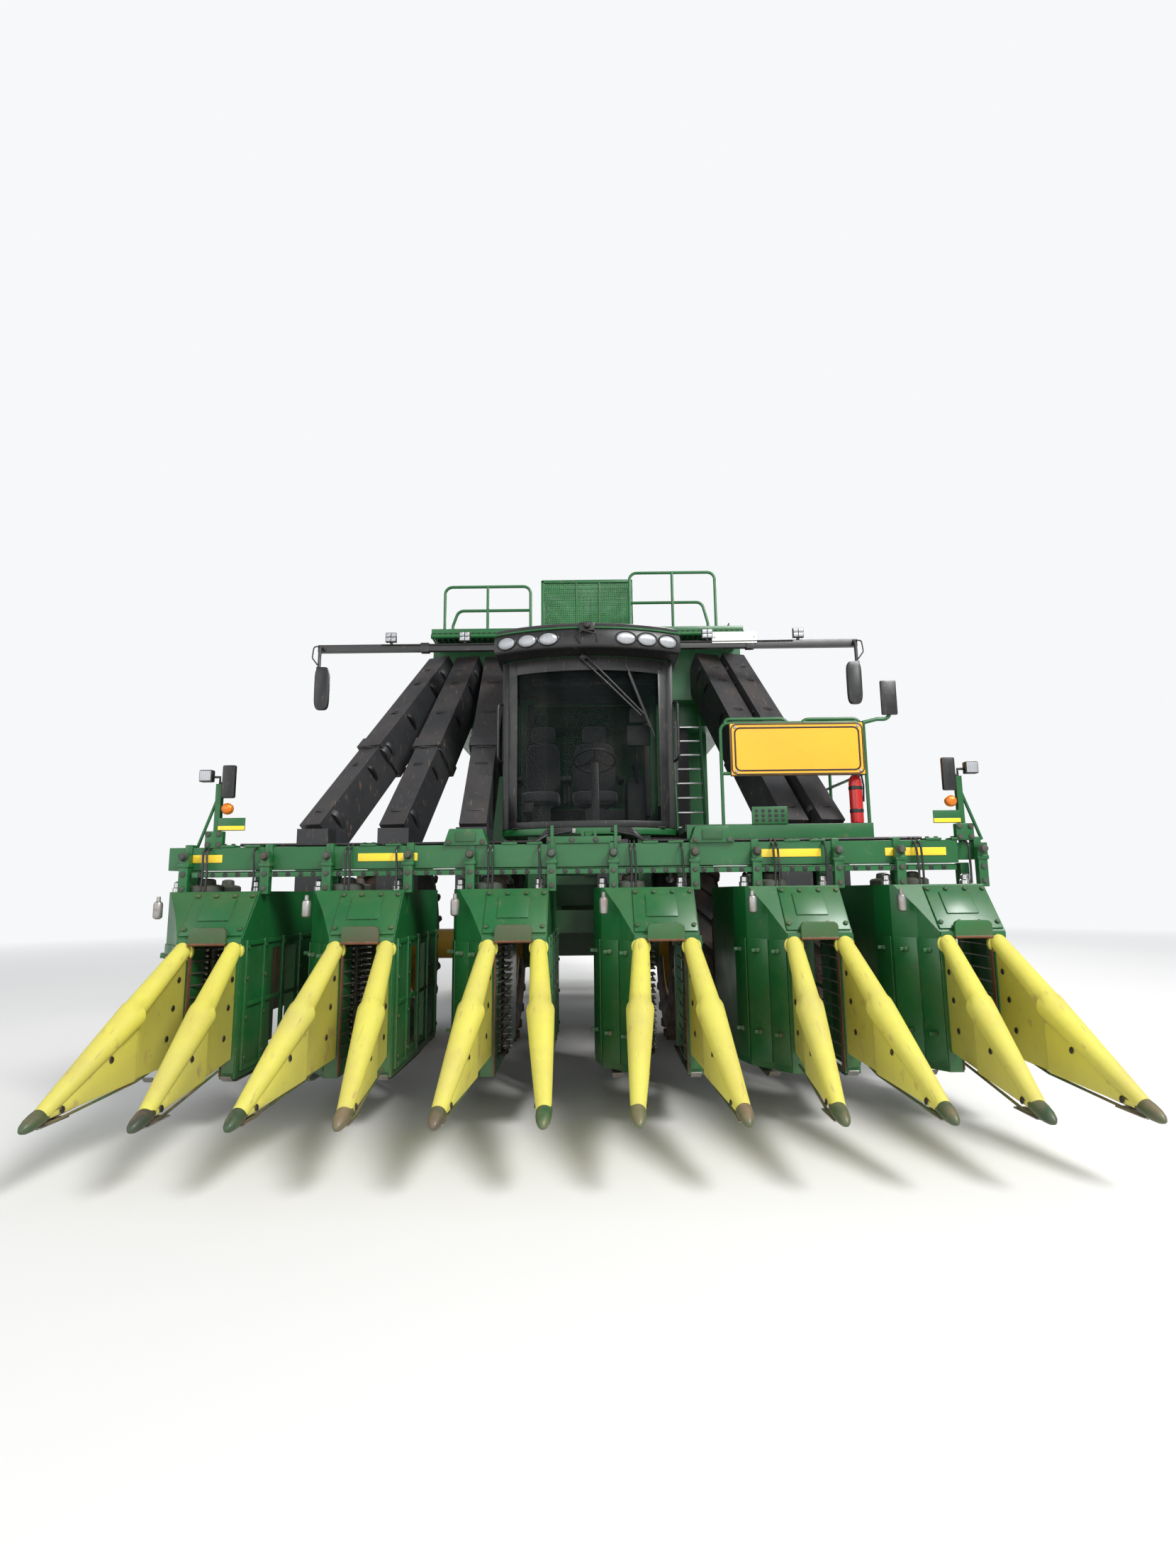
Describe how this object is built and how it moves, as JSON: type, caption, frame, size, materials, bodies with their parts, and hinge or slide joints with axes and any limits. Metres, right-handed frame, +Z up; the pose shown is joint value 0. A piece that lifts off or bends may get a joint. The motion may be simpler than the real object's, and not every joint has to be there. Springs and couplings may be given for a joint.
{
  "type": "self-propelled cotton picker",
  "caption": "Self-propelled row-crop cotton picker with drum picking units, cab, suction ducts, accumulator and round-module chamber.",
  "frame": {"origin": "on the ground, under the middle of the machine's box", "axes": "+Z up, the machine faces -Y, +X is to its left hand"},
  "size_m": [5.79, 9.9998, 4.99],
  "materials": {
    "green_paint": "satin",
    "dark_green_paint": "satin",
    "yellow_plastic": "satin",
    "yellow_paint": "satin",
    "black_paint": "satin",
    "duct_plastic": "matte",
    "black_plastic": "matte",
    "engine_iron": "satin",
    "bare_steel": "worn",
    "chromed_rod": "polished",
    "tyre_rubber": "matte",
    "cab_glazing": "tinted",
    "seat_cloth": "woven",
    "lamp_lens": "clear",
    "amber_sign": "satin",
    "red_paint": "gloss",
    "screen_mesh": "perforated"
  },
  "bodies": {
    "chassis": {"main_frame": "dark_green_paint", "front_axle": "dark_green_paint", "rear_axle": "dark_green_paint", "engine_block": "engine_iron", "cooling_housing": "black_plastic", "engine_bay": "green_paint", "fuel_tank": "black_plastic", "cab_body": "green_paint", "cab_roof": "black_plastic", "cab_glass": "cab_glazing", "cab_interior": "seat_cloth", "work_lamps": "lamp_lens", "platform": "green_paint", "platform_rails": "green_paint", "ladders": "green_paint", "sign_board": "amber_sign", "fire_extinguisher": "red_paint", "mirror_bar": "black_paint", "suction_ducts": "duct_plastic", "accumulator": "green_paint", "roof_screens": "screen_mesh", "walkway": "green_paint", "module_chamber": "green_paint"},
    "front_wheels_left": {"front_tyres_left": "tyre_rubber", "front_rims_left": "yellow_paint"},
    "front_wheels_right": {"front_tyres_right": "tyre_rubber", "front_rims_right": "yellow_paint"},
    "knuckle_left": {"knuckle_left": "dark_green_paint"},
    "knuckle_right": {"knuckle_right": "dark_green_paint"},
    "rear_wheel_left": {"rear_tyre_left": "tyre_rubber", "rear_rim_left": "yellow_paint"},
    "rear_wheel_right": {"rear_tyre_right": "tyre_rubber", "rear_rim_right": "yellow_paint"},
    "tie_rod": {"tie_rod": "bare_steel"},
    "lift_arms": {"lift_arms": "green_paint"},
    "upper_link": {"upper_link": "green_paint"},
    "lift_barrels": {"lift_barrels": "black_paint"},
    "lift_rods": {"lift_rods": "chromed_rod"},
    "header": {"header_frame": "green_paint", "units_left": "green_paint", "units_centre": "green_paint", "units_right": "green_paint", "unit_nozzles": "duct_plastic", "dividers": "yellow_plastic", "divider_shoes": "dark_green_paint"},
    "cab_door": {"cab_door": "black_paint", "door_glass": "cab_glazing"},
    "rear_gate": {"rear_gate": "green_paint"},
    "gate_barrels": {"gate_barrels": "black_paint"},
    "gate_rods": {"gate_rods": "chromed_rod"},
    "module_handler": {"module_handler": "green_paint"},
    "shield_left": {"shield_left": "green_paint"},
    "shield_right": {"shield_right": "green_paint"},
    "drum_1": {"drum_1": "bare_steel"},
    "drum_2": {"drum_2": "bare_steel"},
    "drum_3": {"drum_3": "bare_steel"},
    "drum_4": {"drum_4": "bare_steel"},
    "drum_5": {"drum_5": "bare_steel"},
    "drum_6": {"drum_6": "bare_steel"}
  },
  "joints": [
    {"name": "front_wheels_left_spin", "type": "hinge", "parent": "chassis", "child": "front_wheels_left", "pos_m": [1.575, -0.9, 0.975], "axis": [1, 0, 0], "continuous": true},
    {"name": "front_wheels_right_spin", "type": "hinge", "parent": "chassis", "child": "front_wheels_right", "pos_m": [-1.425, -0.9, 0.975], "axis": [1, 0, 0], "continuous": true},
    {"name": "steer_left", "type": "hinge", "parent": "chassis", "child": "knuckle_left", "pos_m": [1.075, 3, 0.765], "axis": [0, 0, 1], "range_deg": [-30, 30]},
    {"name": "steer_right", "type": "hinge", "parent": "chassis", "child": "knuckle_right", "pos_m": [-0.925, 3, 0.765], "axis": [0, 0, 1], "range_deg": [-30, 30]},
    {"name": "tie_rod_slide", "type": "slide", "parent": "chassis", "child": "tie_rod", "axis": [1, 0, 0], "range_m": [-0.131, 0.131]},
    {"name": "rear_wheel_left_spin", "type": "hinge", "parent": "knuckle_left", "child": "rear_wheel_left", "pos_m": [1.575, 3, 0.765], "axis": [1, 0, 0], "continuous": true},
    {"name": "rear_wheel_right_spin", "type": "hinge", "parent": "knuckle_right", "child": "rear_wheel_right", "pos_m": [-1.425, 3, 0.765], "axis": [1, 0, 0], "continuous": true},
    {"name": "header_lift", "type": "hinge", "parent": "chassis", "child": "lift_arms", "pos_m": [0.075, -1.98, 1.72], "axis": [-1, 0, 0], "range_deg": [-14, 5.5]},
    {"name": "header_level", "type": "hinge", "parent": "lift_arms", "child": "header", "pos_m": [0.075, -3.23, 1.72], "axis": [-1, 0, 0], "range_deg": [-5.5, 14]},
    {"name": "upper_link_swing", "type": "hinge", "parent": "chassis", "child": "upper_link", "pos_m": [0.075, -1.98, 1.9], "axis": [-1, 0, 0], "range_deg": [-14, 5.5]},
    {"name": "lift_barrel_swing", "type": "hinge", "parent": "chassis", "child": "lift_barrels", "pos_m": [0.075, -1.9, 1.4], "axis": [-1, 0, 0], "range_deg": [-8.6, 3.44]},
    {"name": "lift_rod_slide", "type": "slide", "parent": "lift_barrels", "child": "lift_rods", "axis": [0, -0.8575, 0.5145], "range_m": [-0.0604, 0.0243]},
    {"name": "cab_door_swing", "type": "hinge", "parent": "chassis", "child": "cab_door", "pos_m": [0.891, -1.2, 2.8], "axis": [0, 0, 1], "range_deg": [0, 45]},
    {"name": "rear_gate_lift", "type": "hinge", "parent": "chassis", "child": "rear_gate", "pos_m": [0.075, 2.92, 4.3], "axis": [1, 0, 0], "range_deg": [0, 65]},
    {"name": "gate_barrel_swing", "type": "hinge", "parent": "chassis", "child": "gate_barrels", "pos_m": [0.075, 2, 3.2], "axis": [1, 0, 0], "range_deg": [-0.1, 29.73]},
    {"name": "gate_rod_slide", "type": "slide", "parent": "gate_barrels", "child": "gate_rods", "axis": [0, 0.9976, -0.0688], "range_m": [-0.001, 1.0237]},
    {"name": "handler_fold", "type": "hinge", "parent": "chassis", "child": "module_handler", "pos_m": [0.075, 4.09, 1.22], "axis": [-1, 0, 0], "range_deg": [0, 50]},
    {"name": "shield_left_lift", "type": "hinge", "parent": "chassis", "child": "shield_left", "pos_m": [1.545, 1.2, 3.345], "axis": [0, -1, 0], "range_deg": [0, 75]},
    {"name": "shield_right_lift", "type": "hinge", "parent": "chassis", "child": "shield_right", "pos_m": [-1.395, 1.2, 3.345], "axis": [0, 1, 0], "range_deg": [0, 75]},
    {"name": "drum_1_spin", "type": "hinge", "parent": "header", "child": "drum_1", "pos_m": [-2.64, -3.49, 0.8], "axis": [0, 0, 1], "continuous": true},
    {"name": "drum_2_spin", "type": "hinge", "parent": "header", "child": "drum_2", "pos_m": [-1.64, -3.49, 0.8], "axis": [0, 0, 1], "continuous": true},
    {"name": "drum_3_spin", "type": "hinge", "parent": "header", "child": "drum_3", "pos_m": [-0.64, -3.49, 0.8], "axis": [0, 0, 1], "continuous": true},
    {"name": "drum_4_spin", "type": "hinge", "parent": "header", "child": "drum_4", "pos_m": [0.36, -3.49, 0.8], "axis": [0, 0, 1], "continuous": true},
    {"name": "drum_5_spin", "type": "hinge", "parent": "header", "child": "drum_5", "pos_m": [1.36, -3.49, 0.8], "axis": [0, 0, 1], "continuous": true},
    {"name": "drum_6_spin", "type": "hinge", "parent": "header", "child": "drum_6", "pos_m": [2.36, -3.49, 0.8], "axis": [0, 0, 1], "continuous": true}
  ],
  "couplings": [
    {"joint": "steer_right", "follows": "steer_left", "ratio": 1},
    {"joint": "tie_rod_slide", "follows": "steer_left", "m_per_rad": 0.25},
    {"joint": "header_level", "follows": "header_lift", "ratio": -1},
    {"joint": "upper_link_swing", "follows": "header_lift", "ratio": 1},
    {"joint": "lift_barrel_swing", "follows": "header_lift", "ratio": 0.6072},
    {"joint": "lift_rod_slide", "follows": "header_lift", "m_per_rad": 0.2431},
    {"joint": "gate_barrel_swing", "follows": "rear_gate_lift", "ratio": 0.4558},
    {"joint": "gate_rod_slide", "follows": "rear_gate_lift", "m_per_rad": 0.9015},
    {"joint": "drum_2_spin", "follows": "drum_1_spin", "ratio": 1},
    {"joint": "drum_3_spin", "follows": "drum_1_spin", "ratio": 1},
    {"joint": "drum_4_spin", "follows": "drum_1_spin", "ratio": 1},
    {"joint": "drum_5_spin", "follows": "drum_1_spin", "ratio": 1},
    {"joint": "drum_6_spin", "follows": "drum_1_spin", "ratio": 1}
  ]
}
